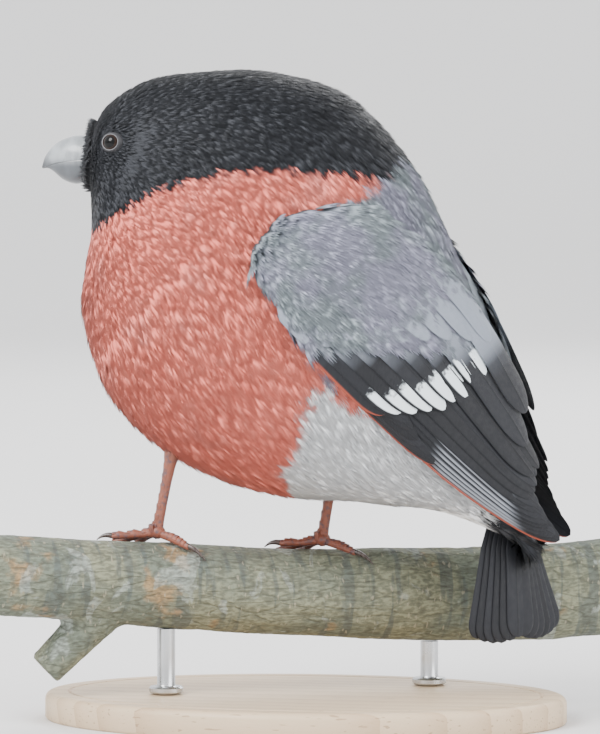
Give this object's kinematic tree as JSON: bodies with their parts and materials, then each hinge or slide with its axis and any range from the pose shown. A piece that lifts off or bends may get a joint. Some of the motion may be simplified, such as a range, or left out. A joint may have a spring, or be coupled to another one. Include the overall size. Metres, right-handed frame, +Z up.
{
  "type": "bullfinch",
  "caption": "Life-size cock bullfinch, fluffed up and perched on a short branch, held by an oval base with short rods.",
  "frame": {"origin": "centre of the underside of the stand's base", "axes": "+Z up; the bird faces -X and its middle plane is y = 0, so its left side faces -Y"},
  "size_m": [0.1481, 0.0915, 0.1439],
  "materials": {
    "cap_feathers": "soft black feathers with a slight sheen",
    "breast_feathers": "soft coral red feathers",
    "vent_feathers": "soft white feathers",
    "flight_feathers": "glossy blue-black feathers",
    "horn": "grey horn, half gloss",
    "eye": "wet dark brown",
    "leg_scales": "red-brown scaly skin",
    "bark": "olive bark, matt",
    "steel": "brushed",
    "pale_wood": "pale hardwood, satin"
  },
  "bodies": {
    "root": {"head": "cap_feathers", "neck": "breast_feathers", "torso": "breast_feathers", "rump": "vent_feathers", "bill_upper": "horn", "bill_lower": "horn", "eye_left": "eye", "eye_right": "eye", "wing_left": "flight_feathers", "wing_right": "flight_feathers", "tail": "flight_feathers", "leg_left": "leg_scales", "leg_right": "leg_scales", "foot_left": "leg_scales", "foot_right": "leg_scales", "perch_branch": "bark", "stand_rod_front": "steel", "stand_rod_back": "steel", "stand_base": "pale_wood"}
  },
  "joints": []
}
